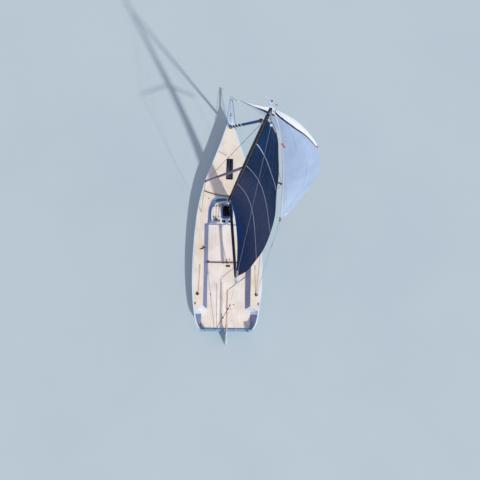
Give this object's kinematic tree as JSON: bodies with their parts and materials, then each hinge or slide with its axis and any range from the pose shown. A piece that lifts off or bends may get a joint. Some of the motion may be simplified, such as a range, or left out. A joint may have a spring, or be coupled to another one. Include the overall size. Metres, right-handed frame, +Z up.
{
  "type": "sailing sportboat with keel",
  "caption": "Light sailing sportboat under mainsail and gennaker: decked hull with low cabin, open cockpit, bulb keel, transom rudder with tiller, raked mast and boom.",
  "frame": {"origin": "on the hull's centreline at the waterline, midway between the transom and the stem", "axes": "+X to starboard, +Y forward to the bow, +Z up"},
  "size_m": [4.19, 9.8063, 14.778],
  "materials": {
    "gelcoat": "white gelcoat with a cool tint, glossy",
    "deck": "cream non-slip deck with fine lengthwise grooves",
    "cabin_glass": "deep blue opaque acrylic, polished",
    "dark_acrylic": "near-black acrylic, polished",
    "frame": "mid-blue coated frame, satin",
    "carbon": "dark carbon spar, satin lacquer",
    "alloy": "anodised, satin",
    "steel": "stainless steel wire and plate",
    "lead": "lead bulb, grey fairing paint",
    "white_paint": "white two-pack paint, glossy",
    "varnished_wood": "varnished red-brown laminated wood",
    "mainsail_cloth": "dark navy laminated sailcloth",
    "gennaker_cloth": "pale blue-grey and white spinnaker nylon",
    "jib_cloth": "furled sail under a dark blue cover strip",
    "rope": "braided rope and fibre stays",
    "black_plastic": "moulded black plastic fittings"
  },
  "bodies": {
    "boat": {"aft_hull": "gelcoat", "fore_hull": "gelcoat", "port_topside": "gelcoat", "starboard_topside": "gelcoat", "transom": "gelcoat", "cabin_bulkhead": "gelcoat", "foredeck_panel": "deck", "port_side_deck_panel": "deck", "starboard_side_deck_panel": "deck", "cockpit_sole_panel": "deck", "aft_sole_panel": "deck", "coachroof": "gelcoat", "coachroof_panel": "deck", "port_cabin_window": "cabin_glass", "starboard_cabin_window": "cabin_glass", "hatch_frame": "frame", "washboard": "dark_acrylic", "foredeck_hatch": "dark_acrylic", "bow_fitting": "white_paint", "bowsprit": "white_paint", "bobstay": "rope", "keel_fin": "white_paint", "keel_bulb": "lead", "upper_gudgeon": "steel", "lower_gudgeon": "steel", "mast": "carbon", "gooseneck": "alloy", "port_spreader": "alloy", "port_shroud": "steel", "starboard_spreader": "alloy", "starboard_shroud": "steel", "masthead_crane": "white_paint", "backstay": "rope", "forestay": "steel", "furled_jib": "jib_cloth", "furler_swivel": "black_plastic", "gennaker": "gennaker_cloth", "tack_line": "rope", "gennaker_sheet": "rope", "jib_track": "carbon", "mainsheet_traveller": "carbon", "mainsheet_tackle": "rope", "port_turning_block": "black_plastic", "port_winch": "alloy", "starboard_turning_block": "black_plastic", "starboard_winch": "alloy"},
    "rudder": {"rudder_blade": "white_paint", "rudder_head": "white_paint", "upper_pintle": "steel", "lower_pintle": "steel", "tiller": "varnished_wood", "tiller_extension": "carbon"},
    "boom": {"boom": "carbon", "vang": "carbon", "mainsail": "mainsail_cloth"},
    "wind_vane": {"wind_vane": "black_plastic"}
  },
  "joints": [
    {"name": "rudder_turn", "type": "hinge", "parent": "boat", "child": "rudder", "pos_m": [0, -4.325, 0.4], "axis": [0, 0, 1], "range_deg": [-33, 33]},
    {"name": "boom_swing", "type": "hinge", "parent": "boat", "child": "boom", "pos_m": [0, 0.74115, 1.72], "axis": [0, -0.015, 0.9999], "range_deg": [-10, 27]},
    {"name": "wind_vane_turn", "type": "hinge", "parent": "boat", "child": "wind_vane", "pos_m": [0, 0.7505, 12.73], "axis": [0, 0, 1], "continuous": true}
  ]
}
